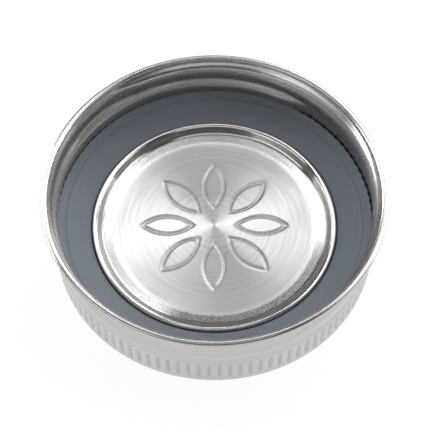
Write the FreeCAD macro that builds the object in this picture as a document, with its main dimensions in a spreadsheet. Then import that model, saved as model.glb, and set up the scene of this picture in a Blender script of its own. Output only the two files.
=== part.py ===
import FreeCAD, Part
import math
import os
import re
import Sketcher

# Canning jar lid, lying upside down: the open mouth faces +Z.
# The origin is the middle of the ring that the closed end rests on.
# All sizes are in millimetres and all angles in degrees.

DRIVING_SIZES = [
    # skirt, from the rest ring upward
    ("lip_diameter", 73.0, "outside of the rolled lip"),
    ("curl_radius", 0.75, "outside radius of the roll at the lip"),
    ("roll_facets", 8.0, "straight facets that stand for the roll's round"),
    ("rim_slope", 45.0, "slope of the bevel that stands for the round of the resting rim"),
    ("sheet_gauge", 0.4, "thickness of the steel sheet"),
    ("wall_inset", 1.6, "lip's outside to the threaded wall's outside"),
    ("band_top", 8.6, "where the shoulder above the finger band starts"),
    ("shoulder_rise", 1.2, "height of the shoulder between band and wall"),
    ("thread_base", 2.0, "shoulder's top to the middle of the thread's deep end"),
    ("thread_pitch", 5.08, "five turns to the inch"),
    ("thread_turn", 428.0, "from the thread's deep end round to its lip end"),
    ("thread_azimuth", 57.0, "from +X to the thread's deep end"),
    ("thread_depth", 0.9, "depth of the rolled groove"),
    ("thread_flank", 0.9, "width of each of the groove's two sides"),
    ("lip_over_thread", 2.36, "middle of the thread's lip end to the lip's top"),
    ("flare_height", 0.8, "roll's centre down to where the wall starts to flare"),
    ("flare_lap", 0.5, "how far the flared wall reaches into the roll"),
    # pressed panel, measured on its underside from the rest ring inward
    ("rest_width", 2.8, "band's outside to the start of the panel's cone"),
    ("cone_run", 5.6, "width of the cone under the seal"),
    ("cone_rise", 4.9, "height of that cone"),
    ("ridge_lean", 0.4, "how far the ridge's outer side leans inward"),
    ("ridge_rise", 1.85, "height of the ridge's outer side"),
    ("crest_width", 0.3, "flat along the ridge's crest"),
    ("slope_run", 1.2, "width of the slope inside the ridge"),
    ("slope_fall", 1.45, "height of that slope"),
    ("dish_run", 3.6, "width of the shallow dish inside the slope"),
    ("dish_fall", 0.7, "fall of the dish to the flat centre"),
    # finger flutes
    ("flute_count", 104.0, "flutes around the band"),
    ("flute_depth", 0.3, "depth under the band's surface"),
    ("flute_floor", 0.05, "how far the flutes' bottoms stand out from the wall"),
    # silicone seal
    ("seal_gap", 0.1, "clearance between seal and steel"),
    ("seal_chamfer", 0.6, "height of the chamfer under the seal's outer edge"),
    ("seal_inner_thickness", 1.4, "height of the seal's inner face"),
    ("seal_over_shoulder", 0.2, "shoulder's top to the seal's outer edge"),
]

FOLLOWING_SIZES = [
    ("curl_centre", "lip_diameter / 2 - curl_radius", "middle of the roll"),
    ("wall_radius", "lip_diameter / 2 - wall_inset", "outside of the threaded wall"),
    ("band_proud", "flute_depth + flute_floor", "how far the band stands out from the wall"),
    ("band_radius", "wall_radius + band_proud", "outside of the finger band"),
    ("shoulder_top", "band_top + shoulder_rise", "top of the shoulder"),
    ("thread_start", "shoulder_top + thread_base", "height of the thread's deep end"),
    ("thread_rise", "thread_pitch * thread_turn / 360", "climb of the whole thread"),
    ("groove_floor", "wall_radius - thread_depth", "radius of the groove's deepest line"),
    ("groove_back", "wall_radius + sheet_gauge", "radius that the groove is cut in from"),
    ("bead_crest", "groove_floor - sheet_gauge", "radius of the bead's crest inside"),
    ("bead_back", "wall_radius - sheet_gauge / 4", "radius where the bead is rooted in the wall"),
    ("overall_height", "thread_start + thread_rise + lip_over_thread", "rest ring to the lip"),
    ("roll_height", "overall_height - curl_radius", "height of the roll's centre"),
    ("flare_base", "roll_height - flare_height", "where the wall starts to flare"),
    ("flare_top", "curl_centre - curl_radius + flare_lap", "wall's outside at the roll's centre"),
    ("seal_outer", "wall_radius - sheet_gauge - seal_gap", "seal's outside"),
    ("rim_radius", "band_radius - seal_outer + sheet_gauge", "round of the rim it rests on"),
    ("rim_bevel", "rim_radius * (1 - tan(rim_slope / 2))", "its bevel, which touches that round"),
    ("rest_radius", "band_radius - rest_width", "inside of the rest ring"),
    ("ridge_foot", "rest_radius - cone_run", "where the cone meets the ridge"),
    ("ridge_radius", "ridge_foot - ridge_lean", "outer edge of the ridge's crest"),
    ("ridge_height", "cone_rise + ridge_rise", "height of the crest's underside"),
    ("crest_inner", "ridge_radius - crest_width", "inner edge of the crest"),
    ("slope_foot", "crest_inner - slope_run", "foot of the slope inside the ridge"),
    ("slope_height", "ridge_height - slope_fall", "height of that foot"),
    ("disc_radius", "slope_foot - dish_run", "edge of the flat centre"),
    ("disc_height", "slope_height - dish_fall", "underside of the flat centre"),
    ("flute_back", "sheet_gauge / 8", "how far a flute's prism passes the face it is cut from"),
    ("ridge_low", "rim_bevel + sheet_gauge * tan(rim_slope / 2)", "lower end of the ridges inside"),
    (
        "ridge_high",
        "band_top - sheet_gauge * tan(atan(band_proud / shoulder_rise) / 2)",
        "their upper end",
    ),
    ("seal_inner", "ridge_foot + sheet_gauge + seal_gap", "seal's inside"),
    ("seal_floor", "sheet_gauge + seal_gap", "lowest height of the seal"),
    ("cone_slant", "sqrt(cone_run * cone_run + cone_rise * cone_rise)", "length of the cone"),
    ("seal_lift", "seal_floor * cone_slant / cone_run", "seal's underside over the cone's"),
    (
        "seal_inner_base",
        "cone_rise * (rest_radius - seal_inner) / cone_run + seal_lift",
        "foot of the seal's inner face",
    ),
    (
        "seal_toe",
        "rest_radius + (seal_lift - seal_floor) * cone_run / cone_rise",
        "where the seal's sloping underside ends",
    ),
    ("seal_inner_top", "seal_inner_base + seal_inner_thickness", "height of its inner edge"),
    ("seal_outer_top", "shoulder_top + seal_over_shoulder", "height of its outer edge"),
]

doc = FreeCAD.newDocument("CanningJarLid")
sheet = doc.addObject("Spreadsheet::Sheet", "Sizes")
for row, (alias, value, note) in enumerate(DRIVING_SIZES + FOLLOWING_SIZES, start=1):
    sheet.set(f"A{row}", alias)
    sheet.set(f"B{row}", f"={value}" if isinstance(value, str) else str(value))
    sheet.set(f"C{row}", note)
    sheet.setAlias(f"B{row}", alias)
doc.recompute()
ALIASES = {alias for alias, _, _ in DRIVING_SIZES + FOLLOWING_SIZES}


def size(alias):
    """The sheet's present value of one size."""
    return float(getattr(sheet, alias))


def over_sheet(expression):
    """An expression in which every size is read from the sheet."""
    return re.sub(
        r"[a-z]\w*",
        lambda word: f"Sizes.{word[0]}" if word[0] in ALIASES else word[0],
        expression,
    )


def bind(feature, **properties):
    """Ties a feature's properties to expressions over the sheet."""
    for name, expression in properties.items():
        feature.setExpression(name, over_sheet(expression))


def datum(body, role):
    """One of the body's own planes or axes."""
    return next(feature for feature in body.Origin.OriginFeatures if feature.Role == role)


def new_sketch(body, name, plane):
    """A sketch on one of the body's own planes."""
    sketch = body.newObject("Sketcher::SketchObject", name)
    sketch.AttachmentSupport = [(datum(body, plane), "")]
    sketch.MapMode = "FlatFace"
    return sketch


# Sketch geometry is drawn first and then held by constraints over the sheet.
START, END = range(1, 3)
HORIZONTAL_AXIS, VERTICAL_AXIS = -1, -2
UP = FreeCAD.Vector(0, 0, 1)


def at(across, up):
    return FreeCAD.Vector(across, up, 0)


def hold(sketch, kind, *arguments):
    """Adds one dimension; the last argument is its expression over the sheet."""
    number = sketch.addConstraint(Sketcher.Constraint(kind, *arguments[:-1], 1.0))
    sketch.setExpression(f"Constraints[{number}]", over_sheet(arguments[-1]))


def hold_across(sketch, geometry, end, expression):
    hold(sketch, "DistanceX", HORIZONTAL_AXIS, START, geometry, end, expression)


def hold_up(sketch, geometry, end, expression):
    hold(sketch, "DistanceY", HORIZONTAL_AXIS, START, geometry, end, expression)


def on_axis(sketch, geometry, end, axis):
    sketch.addConstraint(Sketcher.Constraint("PointOnObject", geometry, end, axis))


def meet(sketch, geometry, end, other, other_end):
    sketch.addConstraint(Sketcher.Constraint("Coincident", geometry, end, other, other_end))


def driven_outline(sketch, corners):
    """A closed outline of straight lines; a corner without a distance lies on that axis."""
    count = len(corners)
    rough = [
        at(math.cos(2 * math.pi * index / count), math.sin(2 * math.pi * index / count))
        for index in range(count)
    ]
    for index in range(count):
        sketch.addGeometry(Part.LineSegment(rough[index], rough[(index + 1) % count]))
    for index, (across, up) in enumerate(corners):
        meet(sketch, index, END, (index + 1) % count, START)
        if across:
            hold_across(sketch, index, START, across)
        else:
            on_axis(sketch, index, START, VERTICAL_AXIS)
        if up:
            hold_up(sketch, index, START, up)
        else:
            on_axis(sketch, index, START, HORIZONTAL_AXIS)


def round_corners(across, up, radius, facets):
    """Corners of a ring of straight facets that touch a round of the given radius."""
    reach = 1 / math.cos(math.pi / facets)
    angles = [2 * math.pi * (step + 0.5) / facets for step in range(facets)]
    return [
        (
            f"{across} + {radius} * {reach * math.cos(angle):.9f}",
            f"{up} + {radius} * {reach * math.sin(angle):.9f}",
        )
        for angle in angles
    ]


def revolved(body, name, sketch):
    """The sketch's outline turned once round the part's axis."""
    turned = body.newObject("PartDesign::Revolution", name)
    turned.Profile = sketch
    turned.ReferenceAxis = (sketch, ["V_Axis"])
    turned.Angle = 360
    doc.recompute()
    return turned


def repeated(body, name, originals, count):
    """A ring of equal copies round the part's axis."""
    ring = body.newObject("PartDesign::PolarPattern", name)
    ring.Originals = originals
    ring.Axis = (datum(body, "Z_Axis"), [""])
    ring.Angle = 360
    bind(ring, Occurrences=count)
    body.Tip = ring
    doc.recompute()
    return ring


# Steel shell: the outside is turned as a solid, then hollowed to the sheet's thickness.
# Rounds are drawn as short straight facets.
def pressed_cup(body):
    outline = new_sketch(body, "OutsideOutline", "XZ_Plane")
    driven_outline(
        outline,
        [
            (None, "disc_height"),
            ("disc_radius", "disc_height"),
            ("slope_foot", "slope_height"),
            ("crest_inner", "ridge_height"),
            ("ridge_radius", "ridge_height"),
            ("ridge_foot", "cone_rise"),
            ("rest_radius", None),
            ("band_radius - rim_bevel", None),
            ("band_radius", "rim_bevel"),
            ("band_radius", "band_top"),
            ("wall_radius", "shoulder_top"),
            ("wall_radius", "flare_base"),
            ("flare_top", "roll_height"),
            (None, "roll_height"),
        ],
    )
    solid = revolved(body, "OutsideForm", outline)
    mouth = next(
        f"Face{number}"
        for number, face in enumerate(solid.Shape.Faces, start=1)
        if math.isclose(face.BoundBox.ZMin, size("roll_height"), abs_tol=1e-4)
    )
    hollow = body.newObject("PartDesign::Thickness", "SheetThickness")
    hollow.Base = (solid, [mouth])
    hollow.Join = "Intersection"
    hollow.Reversed = True
    bind(hollow, Value="sheet_gauge")
    doc.recompute()


def rolled_lip(body):
    section = new_sketch(body, "RollSection", "XZ_Plane")
    facets = round(size("roll_facets"))
    driven_outline(section, round_corners("curl_centre", "roll_height", "curl_radius", facets))
    revolved(body, "RolledLip", section)


# The rolled thread: a groove climbs round the wall's outside, and the same sheet stands out
# as a bead inside.
def thread_run(body, kind, name, back, edge):
    """One helical run of a vee, added to the wall or cut from it."""
    section = new_sketch(body, f"{name}Section", "XZ_Plane")
    section.AttachmentOffset = FreeCAD.Placement(
        at(0, 0), FreeCAD.Rotation(FreeCAD.Vector(0, 1, 0), size("thread_azimuth"))
    )
    half_width = f"thread_flank * ({back} - {edge}) / thread_depth"
    driven_outline(
        section,
        [
            (back, f"thread_start - {half_width}"),
            (back, f"thread_start + {half_width}"),
            (edge, "thread_start"),
        ],
    )
    helix = body.newObject(kind, name)
    helix.Profile = section
    helix.ReferenceAxis = (section, ["V_Axis"])
    helix.Mode = "pitch-height-angle"
    bind(helix, Pitch="thread_pitch", Height="thread_rise")
    doc.recompute()


def rolled_thread(body):
    """The bead first, then the groove, one sheet's thickness apart."""
    thread_run(body, "PartDesign::AdditiveHelix", "ThreadBead", "bead_back", "bead_crest")
    thread_run(body, "PartDesign::SubtractiveHelix", "ThreadGroove", "groove_back", "groove_floor")


# Each flute is a vee cut into the band's outside in front of an equal vee raised inside.
# Neighbours meet on the crests between them.
def flute_prism(body, kind, name, face, low, high):
    """A vee with its edge inward, as wide as one step round the band."""
    vee = new_sketch(body, f"{name}Vee", "XY_Plane")
    vee.AttachmentOffset = FreeCAD.Placement(
        at(0, 0), FreeCAD.Rotation(UP, 180 / size("flute_count"))
    )
    bind(vee, **{"AttachmentOffset.Base.z": low})
    back = f"({face} + flute_back)"
    across, aside = "cos(180 / flute_count)", "sin(180 / flute_count)"
    driven_outline(
        vee,
        [
            (f"{face} - flute_depth", None),
            (f"{face} * {across}", f"{face} * {aside}"),
            (f"{back} * {across}", f"{back} * {aside}"),
            (f"{back} * {across}", f"-{back} * {aside}"),
            (f"{face} * {across}", f"-{face} * {aside}"),
        ],
    )
    prism = body.newObject(kind, name)
    prism.Profile = vee
    bind(prism, Length=f"{high} - {low}")
    doc.recompute()
    return prism


def finger_flutes(body):
    inner_face = "(band_radius - sheet_gauge)"
    ridge = flute_prism(body, "PartDesign::Pad", "FluteInside", inner_face, "ridge_low", "ridge_high")
    flute = flute_prism(
        body, "PartDesign::Pocket", "FluteOutside", "band_radius", "rim_bevel", "band_top"
    )
    flute.Reversed = True
    doc.recompute()
    repeated(body, "FingerFlutes", [ridge, flute], "flute_count")


# The seal lies loose between ridge and wall, its underside along the panel's cone.
def moulded_seal(body):
    outline = new_sketch(body, "SealOutline", "XZ_Plane")
    driven_outline(
        outline,
        [
            ("seal_inner", "seal_inner_base"),
            ("seal_toe", "seal_floor"),
            ("seal_outer", "seal_floor + seal_chamfer"),
            ("seal_outer", "seal_outer_top"),
            ("seal_inner", "seal_inner_top"),
        ],
    )
    revolved(body, "SealForm", outline)


shell = doc.addObject("PartDesign::Body", "lid_shell")
shell.Label = "lid_shell"
pressed_cup(shell)
rolled_lip(shell)
finger_flutes(shell)
rolled_thread(shell)

seal = doc.addObject("PartDesign::Body", "seal_ring")
seal.Label = "seal_ring"
moulded_seal(seal)

# Both bodies are drawn in place, so each one's own placement stays at the origin.
for body in (shell, seal):
    body.Placement = FreeCAD.Placement()
doc.recompute()

for feature in doc.Objects:
    if {"Invalid", "Error"} & set(feature.State):
        raise RuntimeError(f"{feature.Name} did not build: {feature.State}")

os.makedirs("parts", exist_ok=True)
for body in (shell, seal):
    if body.Shape.isNull() or not body.Shape.isValid() or len(body.Shape.Solids) != 1:
        raise RuntimeError(f"{body.Label} is not one sound solid")
    body.Shape.exportStep(f"parts/{body.Label}.step")
    print(f"{body.Label}: {body.Shape.Volume:.1f} cubic millimetres")
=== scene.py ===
# %% [markdown]
# # A canning jar lid in pressed steel and silicone
# The lid is one sheet of bright stainless steel, pressed and rolled, with a soft silicone seal
# lying in its channel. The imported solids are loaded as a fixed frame. They say where each part
# lies, and the pieces made here stand in for them with the finish that the solids lack.

# %% Load the frame
import math
import bmesh
import bpy
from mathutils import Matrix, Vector


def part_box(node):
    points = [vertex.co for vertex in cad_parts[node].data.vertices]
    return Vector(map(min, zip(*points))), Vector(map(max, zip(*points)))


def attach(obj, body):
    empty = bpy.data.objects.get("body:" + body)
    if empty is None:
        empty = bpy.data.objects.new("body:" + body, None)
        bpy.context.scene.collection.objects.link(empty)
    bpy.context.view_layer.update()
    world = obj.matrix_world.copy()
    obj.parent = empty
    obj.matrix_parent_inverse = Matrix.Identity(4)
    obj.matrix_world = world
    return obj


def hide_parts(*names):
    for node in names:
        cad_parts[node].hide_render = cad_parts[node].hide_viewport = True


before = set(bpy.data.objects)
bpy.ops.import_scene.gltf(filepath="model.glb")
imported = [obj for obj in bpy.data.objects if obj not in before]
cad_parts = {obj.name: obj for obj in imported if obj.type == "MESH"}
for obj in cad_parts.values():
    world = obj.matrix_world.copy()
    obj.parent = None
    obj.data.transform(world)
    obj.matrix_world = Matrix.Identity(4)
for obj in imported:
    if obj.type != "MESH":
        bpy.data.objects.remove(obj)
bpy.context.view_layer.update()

shell_low, shell_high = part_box("lid_shell")
seal_low, seal_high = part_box("seal_ring")
print("shell box", shell_low, shell_high)
print("seal box", seal_low, seal_high)

# %% [markdown]
# ## Sizes
# These are the sizes of the pressed sheet in millimetres. A pressing keeps its thickness
# nearly everywhere, so the whole shell can be drawn as one line in the middle of the sheet,
# turned round the axis, and given its thickness at the very end. The lip's radius and height
# are read from the frame, and the wall and the band are measured inward from the lip.

# %% Sizes of the sheet
MM = 0.001
SHEET = 0.4
LIP_RADIUS = shell_high[0] / MM
LIP_TOP = shell_high[2] / MM
LIP_OVERHANG = 1.6
BAND_STEP = 0.35
WALL = LIP_RADIUS - LIP_OVERHANG - SHEET / 2
BAND = WALL + BAND_STEP
print("lip", LIP_RADIUS, "top", LIP_TOP, "wall", WALL, "band", BAND)

# %% [markdown]
# ## Draw the sheet as a line
# On the real lid every bend has the small round of the press tool. A profile here starts as a
# few corners joined by straight edges, and each corner is bevelled into its round. Typing every
# point of a round would give the same line, but then no round could be changed by one number.
# Long runs are divided afterwards, so that flutes, thread and rosette can bend them.

# %% Helpers for a profile
WIDE_ROUND = 0.3


def draw_profile(corners):
    """Joins (radius, height, round length) corners and bevels each into a round."""
    bm = bmesh.new()
    line = [bm.verts.new((r * MM, 0, z * MM)) for r, z, _ in corners]
    for start, end in zip(line, line[1:]):
        bm.edges.new((start, end))
    for vert, (_, _, reach) in zip(line, corners):
        if reach:
            bmesh.ops.bevel(
                bm,
                geom=[vert],
                offset=reach * MM,
                offset_type="OFFSET",
                segments=6 if reach > WIDE_ROUND else 3,
                profile=0.5,
                affect="VERTICES",
                material=-1,
            )
    return bm


def divide_long_runs(bm, longest):
    """Divides every edge into steps no longer than the given millimetres."""
    for edge in list(bm.edges):
        cuts = math.ceil(edge.calc_length() / (longest * MM)) - 1
        if cuts > 0:
            bmesh.ops.subdivide_edges(bm, edges=[edge], cuts=cuts)
    print("profile divided into", len(bm.edges), "edges")


# %% [markdown]
# ## Turn the line round the axis
# A press and a roller leave a form that is round about one axis, which is what the spin
# operator makes. The line is spun through one sector, and copies of that sector are laid round
# the axis, so every sector is the same and the closed seam is merged at the end. There are 13
# sectors because 104 flutes then give each sector a whole number of them.

# %% Turn a profile
SECTORS = 13


def turn(bm, columns):
    """Spins the drawn line through one sector, then lays copies of it round the lid's axis."""
    sector = 2 * math.pi / SECTORS
    around = {"cent": (0, 0, 0), "axis": (0, 0, 1)}
    line = bm.verts[:] + bm.edges[:]
    bmesh.ops.spin(bm, geom=line, angle=sector, steps=columns // SECTORS, **around)
    bmesh.ops.spin(
        bm,
        geom=bm.verts[:] + bm.edges[:] + bm.faces[:],
        angle=2 * math.pi - sector,
        steps=SECTORS - 1,
        use_duplicate=True,
        **around,
    )
    bmesh.ops.remove_doubles(bm, verts=bm.verts, dist=1e-6)
    bmesh.ops.recalc_face_normals(bm, faces=bm.faces)
    print("turned into", len(bm.faces), "faces")


# %% [markdown]
# ## Make it a piece of the lid
# The turned surface is the middle of the sheet. A Solidify modifier gives it an even thickness
# on both sides, as rolled sheet has. Each piece then rides on the part's root, stands for its
# solid, and names the material slot that it belongs to.


# %% Finish a piece
def finish_piece(bm, name, node, material, thickness=None):
    """Makes the mesh an object that stands for its node."""
    for face in bm.faces:
        face.smooth = True
    mesh = bpy.data.meshes.new(name)
    bm.to_mesh(mesh)
    bm.free()
    piece = bpy.data.objects.new(name, mesh)
    bpy.context.scene.collection.objects.link(piece)
    if thickness:
        wall = piece.modifiers.new("sheet thickness", "SOLIDIFY")
        wall.thickness = thickness * MM
        wall.offset = 0
        wall.use_even_offset = True
    mesh.materials.append(material)
    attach(piece, "root")
    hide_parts(node)
    print(name, "faces", len(mesh.polygons))


# %% [markdown]
# ## Materials
# Colours are written as sRGB hex, as a colour picker gives them, and shaders need linear
# values. A material is built from nodes. One helper adds a node and joins it to earlier ones,
# so that each finish below reads as a short list of steps.


# %% Colour and node helpers
def linear(hex_colour):
    """An sRGB hex colour as the linear values that shaders use."""
    parts = [int(hex_colour[i : i + 2], 16) / 255 for i in (1, 3, 5)]
    return [p / 12.92 if p <= 0.04045 else ((p + 0.055) / 1.055) ** 2.4 for p in parts] + [1]


def new_material(name):
    material = bpy.data.materials.new(name)
    material.use_nodes = True
    material.node_tree.nodes.clear()
    return material


def add_node(material, kind, settings=None, **links):
    """Adds a node. links maps inputs, by name or as i0, i1, to values or other nodes' outputs."""
    node = material.node_tree.nodes.new(kind)
    for key, value in (settings or {}).items():
        setattr(node, key, value)
    for key, value in links.items():
        numbered = key[1:].isdigit()
        socket = node.inputs[int(key[1:]) if numbered else key.replace("_", " ")]
        if isinstance(value, bpy.types.NodeSocket):
            material.node_tree.links.new(value, socket)
        else:
            socket.default_value = value
    return node


print("mid grey", linear("#808080"))

# %% [markdown]
# ## Steps that the finishes share
# Steel, silicone and paper all use noise, ranges and sums. Each gets a helper of one line or
# two, so that a material can be read without its wiring.


# %% Steps that the finishes share
def maths(material, operation, first, second):
    """The result of a Math node on two values."""
    node = add_node(material, "ShaderNodeMath", {"operation": operation}, i0=first, i1=second)
    return node.outputs[0]


def vector_maths(material, operation, *vectors):
    """A Vector Math node on one to three vectors."""
    links = {f"i{index}": vector for index, vector in enumerate(vectors)}
    return add_node(material, "ShaderNodeVectorMath", {"operation": operation}, **links)


def noise(material, place, scale, detail):
    """Noise round 0.5, with scale in grains per metre."""
    node = add_node(material, "ShaderNodeTexNoise", None, Vector=place, Scale=scale, Detail=detail)
    return node.outputs[0]


def remap(material, value, source, target):
    """Moves a value from the source range to the target range, and stops at its ends."""
    ends = {"i1": source[0], "i2": source[1], "i3": target[0], "i4": target[1]}
    return add_node(material, "ShaderNodeMapRange", None, Value=value, **ends).outputs[0]


def blend(material, amount, start, end):
    """A colour between two hex colours."""
    ends = {"i6": linear(start), "i7": linear(end)}
    return add_node(material, "ShaderNodeMix", {"data_type": "RGBA"}, i0=amount, **ends).outputs[2]


# %% [markdown]
# ## Streaks that run in circles
# The disc is brushed and the wall is rolled while the lid turns, so every scratch is part of a
# circle. Noise measured in rings gives that: it changes fast across the radius and slowly along
# each circle. Modelled scratches would need millions of faces for the same look.

# %% Turned streaks
STREAK_DRIFT = 90


def turned_streaks(material, place, per_mm):
    """Noise that changes fast across the radius and slowly along each circle."""
    flat = vector_maths(material, "MULTIPLY", place, (1, 1, 0)).outputs[0]
    radius = vector_maths(material, "LENGTH", flat).outputs[1]
    across = maths(material, "MULTIPLY", radius, per_mm / MM)
    ring = add_node(material, "ShaderNodeCombineXYZ", None, X=across).outputs[0]
    drift = (0, STREAK_DRIFT, 0)
    spread = vector_maths(material, "MULTIPLY_ADD", flat, drift, ring).outputs[0]
    return noise(material, spread, 1.0, 2.0)


def outward(material, place):
    """The direction away from the lid's axis."""
    flat = vector_maths(material, "MULTIPLY", place, (1, 1, 0)).outputs[0]
    spaces = {"vector_type": "VECTOR", "convert_from": "OBJECT", "convert_to": "WORLD"}
    return add_node(material, "ShaderNodeVectorTransform", spaces, Vector=flat).outputs[0]


# %% [markdown]
# ## Stainless steel
# Steel is fully metallic with a bright base colour. Its fine circular scratches draw each
# reflection out into a fan, so the highlight on the disc is a bow tie and not a spot. The
# shader calls this anisotropy, and it needs a tangent: here the direction out from the axis.
# The flat disc is duller than the dish round it, and painted shade darkens the flutes' floors.

# %% Stainless sheet
DISC_RADIUS = 21.3
DISH_BRIGHT_FROM = 22.8
GLOSS_SPREAD = 0.12
WEAR_RANGE = (0.7, 1.3)
STREAK_RANGE = (0.35, 0.65)


def gloss_of_sheet(steel, place, streaks, radius, roughness, dish_share):
    """Roughness that varies by an eighth, and changes to dish_share of itself past the disc."""
    wear = noise(steel, place, 90.0, 3.0)
    both = maths(steel, "ADD", streaks, wear)
    limits = (roughness * (1 - GLOSS_SPREAD), roughness * (1 + GLOSS_SPREAD))
    gloss = remap(steel, both, WEAR_RANGE, limits)
    disc_edge = (DISC_RADIUS * MM, DISH_BRIGHT_FROM * MM)
    return maths(steel, "MULTIPLY", gloss, remap(steel, radius, disc_edge, (1.0, dish_share)))


def tint_of_sheet(steel, streaks, colour, streak_and_shade_colour, grain):
    """The bright colour, darker along the streaks, and with painted shade in the flutes."""
    # The flute depth darkens the colour in the flutes: this is painted shade, not a property of
    # the steel.
    flute_depth_and_shade = add_node(steel, "ShaderNodeAttribute", {"attribute_name": "flute_depth_and_shade"}).outputs["Fac"]
    scratched = remap(steel, streaks, STREAK_RANGE, (0.0, grain))
    return blend(steel, maths(steel, "MAXIMUM", flute_depth_and_shade, scratched), colour, streak_and_shade_colour)


def stainless(name, colours, roughness, dish_share, anisotropic, per_mm, depth, grain):
    """Steel with circular streaks in its colour, its gloss and its height."""
    steel = new_material(name)
    place = add_node(steel, "ShaderNodeTexCoord").outputs["Object"]
    streaks = turned_streaks(steel, place, per_mm)
    tangent = outward(steel, place)
    radius = vector_maths(steel, "LENGTH", tangent).outputs[1]
    relief = {"Height": streaks, "Strength": 0.5, "Distance": depth * MM}
    shader = add_node(
        steel,
        "ShaderNodeBsdfPrincipled",
        None,
        Base_Color=tint_of_sheet(steel, streaks, *colours, grain),
        Metallic=1.0,
        Roughness=gloss_of_sheet(steel, place, streaks, radius, roughness, dish_share),
        Anisotropic=anisotropic,
        Tangent=tangent,
        Normal=add_node(steel, "ShaderNodeBump", None, **relief).outputs[0],
    )
    add_node(steel, "ShaderNodeOutputMaterial", None, Surface=shader.outputs[0])
    print(name, "nodes", len(steel.node_tree.nodes))
    return steel


panel_steel = stainless(
    "stainless steel, circular brushed",
    colours=("#d6d5d4", "#b0afae"),
    roughness=0.42,
    dish_share=0.45,
    anisotropic=0.9,
    per_mm=7.0,
    depth=0.012,
    grain=0.6,
)
rolled_steel = stainless(
    "stainless steel, bright rolled",
    # The second colour darkens the streaks and also paints shade into the flutes' floors.
    colours=("#c6c4c3", "#a8a6a5"),
    roughness=0.27,
    dish_share=1.0,
    anisotropic=0.5,
    per_mm=4.0,
    depth=0.008,
    grain=0.35,
)

# %% [markdown]
# ## Silicone
# The seal is moulded silicone, a dull blue-grey. It isn't quite even: the mould leaves a faint
# cloudiness, and dust and fine grain break its highlights. Two noises of very different size do
# both, the coarse one in colour and gloss and the fine one as a shallow bump.


# %% Silicone
def silicone_rubber():
    """Moulded silicone: dull, with a faint cloudiness from the mould and a fine grain."""
    rubber = new_material("silicone rubber, moulded")
    place = add_node(rubber, "ShaderNodeTexCoord").outputs["Object"]
    cloud = noise(rubber, place, 160.0, 4.0)
    grain = noise(rubber, place, 2600.0, 2.0)
    relief = {"Height": grain, "Strength": 0.25, "Distance": 0.02 * MM}
    shader = add_node(
        rubber,
        "ShaderNodeBsdfPrincipled",
        None,
        Base_Color=blend(rubber, cloud, "#6d747c", "#767d87"),
        Roughness=remap(rubber, cloud, (0.3, 0.7), (0.5, 0.62)),
        IOR=1.41,
        Normal=add_node(rubber, "ShaderNodeBump", None, **relief).outputs[0],
    )
    add_node(rubber, "ShaderNodeOutputMaterial", None, Surface=shader.outputs[0])
    print(rubber.name, "nodes", len(rubber.node_tree.nodes))
    return rubber


silicone = silicone_rubber()

# %% [markdown]
# ## The panel
# The closed end is a flat disc, a shallow dish round it, and a narrow round ridge that keeps
# the seal in place. Outside the ridge the sheet falls as a cone to the ring that the lid rests
# on. The disc needs finer steps for the rosette than the skirt needs, so the panel is a piece
# of its own. It meets the skirt under the seal, where the joint can't be seen.

# %% Panel
SEAM_RADIUS = 30.0
CONE = ((27.02, 5.0), (32.53, 0.2))


def on_cone(radius):
    """The height of the cone under the seal at a radius."""
    (r0, z0), (r1, z1) = CONE
    return z0 + (z1 - z0) * (radius - r0) / (r1 - r0)


panel = draw_profile(
    [
        (0, 4.8, 0),  # middle of the flat disc
        (DISC_RADIUS, 4.8, 1.5),  # edge of the disc, where the dish starts
        (24.84, 5.48, 0.45),  # inner foot of the ridge
        (26.02, 6.95, 0.3),  # inner side of the ridge's top
        (26.62, 6.95, 0.25),  # outer side of the ridge's top
        (*CONE[0], 0.3),  # outer foot of the ridge, top of the cone
        (SEAM_RADIUS, on_cone(SEAM_RADIUS), 0),  # seam with the skirt
    ]
)
divide_long_runs(panel, 0.32)
turn(panel, 390)

# %% [markdown]
# ## The rosette
# A figure is pressed into the disc as a raised line on the outside, so from the inside it is a
# shallow groove. Here it is eight plain petals. Each petal is the lens where two circles cross,
# so the distance to the nearer circle tells how far the sheet is pressed down at a point.

# %% Rosette
PETALS = 8
PETAL_ENDS = (4.2, 16.6)
PETAL_WIDTH = 5.4
LINE_WIDTH = 0.9
LINE_FLAT = 0.25
ROSETTE_RADIUS = 18
ROSETTE_DEPTH = 0.3


def petal_groove(x, y):
    """How far the sheet is pressed down at a point of the disc, from 0 to 1."""
    half = (PETAL_ENDS[1] - PETAL_ENDS[0]) / 2
    middle = (PETAL_ENDS[1] + PETAL_ENDS[0]) / 2
    offset = half * half / PETAL_WIDTH - PETAL_WIDTH / 4
    bow = offset + PETAL_WIDTH / 2
    step = 2 * math.pi / PETALS
    radius, turned = math.hypot(x, y), math.atan2(y, x)
    turned = abs((turned + step / 2) % step - step / 2)
    u, v = radius * math.cos(turned) - middle, radius * math.sin(turned)
    gap = abs(math.hypot(u, v + offset) - (bow - LINE_WIDTH / 2))
    if abs(u) > half + LINE_WIDTH:
        return 0.0
    edge = min(max(1 + LINE_FLAT - gap / (LINE_WIDTH / 2), 0), 1)
    return edge * edge * (3 - 2 * edge)


for vert in panel.verts:
    if vert.co.xy.length < ROSETTE_RADIUS * MM:
        vert.co.z -= ROSETTE_DEPTH * MM * petal_groove(vert.co.x / MM, vert.co.y / MM)
finish_piece(panel, "lid_panel", "lid_shell", panel_steel, SHEET)

# %% [markdown]
# ## The thread
# A roller presses the thread into the wall from outside, so it stands in on the inside and is a
# groove on the outside. It climbs to the right by one pitch each turn and fades out at both
# ends. It could be swept as a bead and joined on, but then the sheet would be too thick there.
# Moving the wall's own points inward keeps one sheet. The lower flank is longer than the upper.

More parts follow.
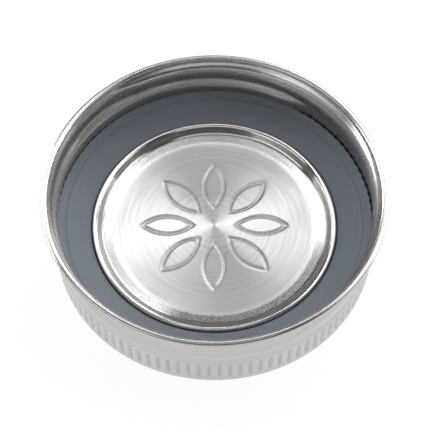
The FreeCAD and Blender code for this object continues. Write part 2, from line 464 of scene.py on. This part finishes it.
# %% Thread groove
THREAD_PITCH = 5.08
THREAD_START = 11.8
THREAD_AZIMUTH = 57.0
THREAD_TURN = 428.0
THREAD_FADE = 16
THREAD_ABOVE, BOW_ABOVE = 2.2, 1.6
THREAD_BELOW, BOW_BELOW = 3.3, 2.1


def bend(t):
    """A smooth step from 0 to 1."""
    t = min(max(t, 0), 1)
    return t * t * (3 - 2 * t)


def thread_groove(azimuth, height):
    """How deep the thread presses the wall inward at a point, from 0 to 1."""
    first = (azimuth - THREAD_AZIMUTH) % 360
    half_fade = THREAD_FADE / 2
    deepest = 0.0
    for angle in (first - 360, first, first + 360):
        start = bend((angle + half_fade) / THREAD_FADE)
        end = bend((THREAD_TURN + half_fade - angle) / THREAD_FADE)
        off = height - THREAD_START - THREAD_PITCH * angle / 360
        off, bow = (off / THREAD_ABOVE, BOW_ABOVE) if off > 0 else (-off / THREAD_BELOW, BOW_BELOW)
        if start * end and off < 1:
            deepest = max(deepest, start * end * (1 - off**bow))
    return deepest


print("thread climbs", THREAD_PITCH * THREAD_TURN / 360, "mm in", THREAD_TURN, "degrees")

# %% [markdown]
# ## The flutes
# The finger band has 104 upright flutes pressed in for grip. Each is one wave of a cosine
# round the band and fades out at its top and bottom. How deep the sheet lies is also kept as
# a value, which the steel uses to paint shade onto the flutes' floors.

# %% Flute groove
FLUTES = 104
FLUTE_BOTTOM, FLUTE_BOTTOM_FADE = 1.6, 1.8
FLUTE_TOP, FLUTE_TOP_FADE = 8.8, 1.6


def flute_groove(azimuth, height):
    """How deep a flute presses the band inward at a point, from 0 to 1."""
    bottom = bend((height - FLUTE_BOTTOM) / FLUTE_BOTTOM_FADE)
    top = bend((FLUTE_TOP - height) / FLUTE_TOP_FADE)
    return bottom * top * (0.5 - 0.5 * math.cos(math.radians(azimuth) * FLUTES))


print("flute spacing", 2 * math.pi * BAND / FLUTES, "mm")

# %% [markdown]
# ## The skirt
# The skirt rises from the rest ring through the fluted finger band to the threaded wall, and
# ends where the roll at the lip starts. It is turned smooth first, and then flutes and thread
# are pressed into it in one pass, in the order of a real lid: first the form, then the rolling.

# %% Skirt
ROLL = 0.75
ROLL_CENTRE = (LIP_RADIUS - ROLL, LIP_TOP - ROLL)
ROLL_INNER = ROLL_CENTRE[0] - ROLL + SHEET / 2
PRESSED_FROM = 34  # nothing is pressed inside this radius
THREAD_LIMIT = LIP_TOP - 1.2  # and no thread above this height
FLUTE_DEPTH = 0.3
THREAD_DEPTH = 0.9


def press_skirt(bm):
    """Presses flutes and thread into the turned wall, and notes where the flutes are deep, for
    painted shade.
    """
    flute_depth_and_shade = bm.verts.layers.float.new("flute_depth_and_shade")
    for vert in bm.verts:
        radius = vert.co.xy.length
        if radius < PRESSED_FROM * MM:
            continue
        azimuth = math.degrees(math.atan2(vert.co.y, vert.co.x))
        height = vert.co.z / MM
        # The flute depth is kept as the mask for the painted shade in the steel's colour.
        vert[flute_depth_and_shade] = flute_groove(azimuth, height)
        depth = FLUTE_DEPTH * vert[flute_depth_and_shade]
        if height < THREAD_LIMIT:
            depth += THREAD_DEPTH * thread_groove(azimuth, height)
        scale = (radius - depth * MM) / radius
        vert.co.x *= scale
        vert.co.y *= scale


skirt = draw_profile(
    [
        (SEAM_RADIUS, on_cone(SEAM_RADIUS), 0),  # seam with the panel
        (*CONE[1], 0.5),  # foot of the cone, start of the rest ring
        (BAND, 0.2, 1.0),  # rim that the lid rests on
        (BAND, 8.6, 0.3),  # top of the finger band
        (WALL, 9.8, 0.3),  # foot of the threaded wall
        (WALL, 18.3, 0.3),  # top of the threaded wall
        (ROLL_INNER, LIP_TOP - 1.0, 0.3),  # end of the flare below the lip
        (ROLL_INNER, ROLL_CENTRE[1], 0),  # start of the roll
    ]
)
divide_long_runs(skirt, 0.45)
turn(skirt, 6 * FLUTES)
press_skirt(skirt)
finish_piece(skirt, "lid_skirt", "lid_shell", rolled_steel, SHEET)

# %% [markdown]
# ## The rolled lip
# The sheet's cut edge is rolled outward and down into a tube, so that no sharp edge is left and
# the lip is stiff. One point spun through most of a circle draws the roll, and turning that
# line gives the lip. A torus would be simpler, but it would have no gap where the edge ends.

# %% Rolled lip
ROLL_ARC = 305
lip = bmesh.new()
lip_line = (ROLL - SHEET / 2) * MM
edge_start = lip.verts.new((ROLL_CENTRE[0] * MM - lip_line, 0, ROLL_CENTRE[1] * MM))
bmesh.ops.spin(
    lip,
    geom=[edge_start],
    cent=(ROLL_CENTRE[0] * MM, 0, ROLL_CENTRE[1] * MM),
    axis=(0, 1, 0),
    angle=math.radians(ROLL_ARC),
    steps=24,
)
turn(lip, 3 * FLUTES)
finish_piece(lip, "lid_lip", "lid_shell", rolled_steel, SHEET)

# %% [markdown]
# ## The seal
# The silicone ring is thick at the wall and thin at the ridge. Its mould left soft edges and
# one low bead. The line is closed here, because the seal is solid and not a sheet. In the
# photo its outer edge has a small dark notch for each flute, so points along that edge are
# moved inward by one wave for each flute.

# %% Seal
NOTCH_DEPTH = 0.25
NOTCH_BOTTOM = 9.5
NOTCH_INNER = 34.0

seal = draw_profile(
    [
        (27.35, 5.2, 0.1),  # inner edge, underside
        (32.66, 0.5, 0.1),  # foot of the cone, underside
        (34.4, 1.1, 0.1),  # outer edge, bottom
        (34.4, 10.0, 0.25),  # outer edge, top
        (32.5, 9.08, 0.1),  # outer foot of the bead
        (32.05, 9.1, 0.2),  # crest of the bead
        (31.6, 8.65, 0.1),  # inner foot of the bead
        (27.05, 6.5, 0.2),  # inner edge, top
        (27.35, 5.2, 0),  # back at the start
    ]
)
divide_long_runs(seal, 0.6)
turn(seal, 6 * FLUTES)
for vert in seal.verts:
    if vert.co.z > NOTCH_BOTTOM * MM and vert.co.xy.length > NOTCH_INNER * MM:
        azimuth = math.atan2(vert.co.y, vert.co.x)
        notch = NOTCH_DEPTH * (0.5 - 0.5 * math.cos(azimuth * FLUTES))
        vert.co.x *= 1 - notch * MM / vert.co.xy.length
        vert.co.y *= 1 - notch * MM / vert.co.xy.length
finish_piece(seal, "seal_ring_soft", "seal_ring", silicone)

# %% [markdown]
# ## Floor and backdrop
# The lid lies on white paper in a white room. The floor is a wide disc whose rim is drawn up
# into a low wall, so that low views have no horizon. Its material shows plain white to the
# camera and to rays that glance off metal or pass through, so the steel sees the same white as
# the camera does. The rest of it is matte paper, which keeps the lid's soft shadow.

# %% Floor
FLOOR_RADIUS = 2.0
BACKDROP_HEIGHT = 0.45
WHITE_SHARE = 0.86
WHITE_STRENGTH = 1.06

floor_mesh = bmesh.new()
bmesh.ops.create_circle(floor_mesh, cap_ends=True, segments=96, radius=FLOOR_RADIUS)
raised = bmesh.ops.extrude_edge_only(floor_mesh, edges=floor_mesh.edges[:])["geom"]
backdrop_top = [item for item in raised if isinstance(item, bmesh.types.BMVert)]
bmesh.ops.translate(floor_mesh, verts=backdrop_top, vec=(0, 0, BACKDROP_HEIGHT))
mesh = bpy.data.meshes.new("floor")
floor_mesh.to_mesh(mesh)
floor_mesh.free()
floor = bpy.data.objects.new("floor", mesh)
bpy.context.scene.collection.objects.link(floor)

paper = new_material("white paper sweep")
ray = add_node(paper, "ShaderNodeLightPath").outputs
bounced = maths(paper, "ADD", ray["Is Glossy Ray"], ray["Is Transmission Ray"])
seen = maths(paper, "ADD", ray["Is Camera Ray"], bounced)
share = maths(paper, "MULTIPLY", seen, WHITE_SHARE)
matte = add_node(paper, "ShaderNodeBsdfDiffuse", None, Color=linear("#f4f4f4")).outputs[0]
glow = {"Color": (1, 1, 1, 1), "Strength": WHITE_STRENGTH}
white = add_node(paper, "ShaderNodeEmission", None, **glow).outputs[0]
mixed = add_node(paper, "ShaderNodeMixShader", None, i0=share, i1=matte, i2=white).outputs[0]
add_node(paper, "ShaderNodeOutputMaterial", None, Surface=mixed)
mesh.materials.append(paper)
print("floor faces", len(mesh.polygons), "backdrop height", BACKDROP_HEIGHT)

# %% [markdown]
# ## Light
# Bright metal shows its surroundings, so the lights are placed by what each part of the lid
# reflects. Most of the panels stand high and are wide, for long soft highlights, and two stand
# low at the sides. A dim even room fills the shadows.

# %% World and lights
ROOM_STRENGTH = 0.07
AIM = Vector((0, 0, 0.01))
PANELS = (
    ("back right panel", (0.40, 0.73, 0.53), (0.6, 0.42), 2.8),
    ("back left panel", (-0.52, 0.46, 0.72), (0.5, 0.42), 1.45),
    ("upper right panel", (0.55, 0.22, 0.80), (0.5, 0.5), 1.6),
    ("left panel", (-0.70, -0.42, 0.72), (0.8, 0.4), 1.8),
    ("right panel", (0.80, 0.09, 0.67), (0.8, 0.4), 1.4),
    ("low left panel", (-0.87, 0.40, 0.17), (0.8, 0.28), 5.5),
    ("low right panel", (0.87, 0.40, 0.17), (0.8, 0.28), 5.5),
    ("back panel", (0.0, 0.48, 0.88), (0.5, 0.18), 1.3),
    ("front panel", (0.0, -0.5, 1.1), (0.9, 0.5), 1.4),
)

world = bpy.data.worlds.new("studio")
bpy.context.scene.world = world
world.use_nodes = True
room = world.node_tree.nodes["Background"]
room.inputs["Color"].default_value = (1, 1, 1, 1)
room.inputs["Strength"].default_value = ROOM_STRENGTH


def softbox(name, place, size, watts):
    """A rectangular panel of light that faces the lid."""
    light = bpy.data.lights.new(name, "AREA")
    light.shape = "RECTANGLE"
    light.size, light.size_y = size
    light.energy = watts
    lamp = bpy.data.objects.new(name, light)
    bpy.context.scene.collection.objects.link(lamp)
    lamp.location = place
    lamp.rotation_euler = (AIM - Vector(place)).to_track_quat("-Z", "Y").to_euler()


for row in PANELS:
    softbox(*row)
print("light panels", len(PANELS), "watts in all", sum(row[3] for row in PANELS))

# %% [markdown]
# ## Camera
# The photo was taken from the front and well above. The place and the lens come from fitting
# three ellipses in it: the lip, the seal and the base. The Standard view transform keeps white
# paper white, where a film-like one would turn it grey.

# %% Camera
FRAME = 430
FOCAL = 1042.5
ELEVATION = 57.72
camera_data = bpy.data.cameras.new("camera")
camera_data.sensor_width = 36
camera_data.lens = FOCAL / FRAME * camera_data.sensor_width
camera = bpy.data.objects.new("camera", camera_data)
bpy.context.scene.collection.objects.link(camera)
camera.location = (0.000135, -0.12157, 0.2016)
camera.rotation_euler = (math.radians(90 - ELEVATION), 0, 0)
bpy.context.scene.camera = camera
bpy.context.scene.view_settings.view_transform = "Standard"
print("lens", camera_data.lens, "mm, distance", camera.location.length, "m")
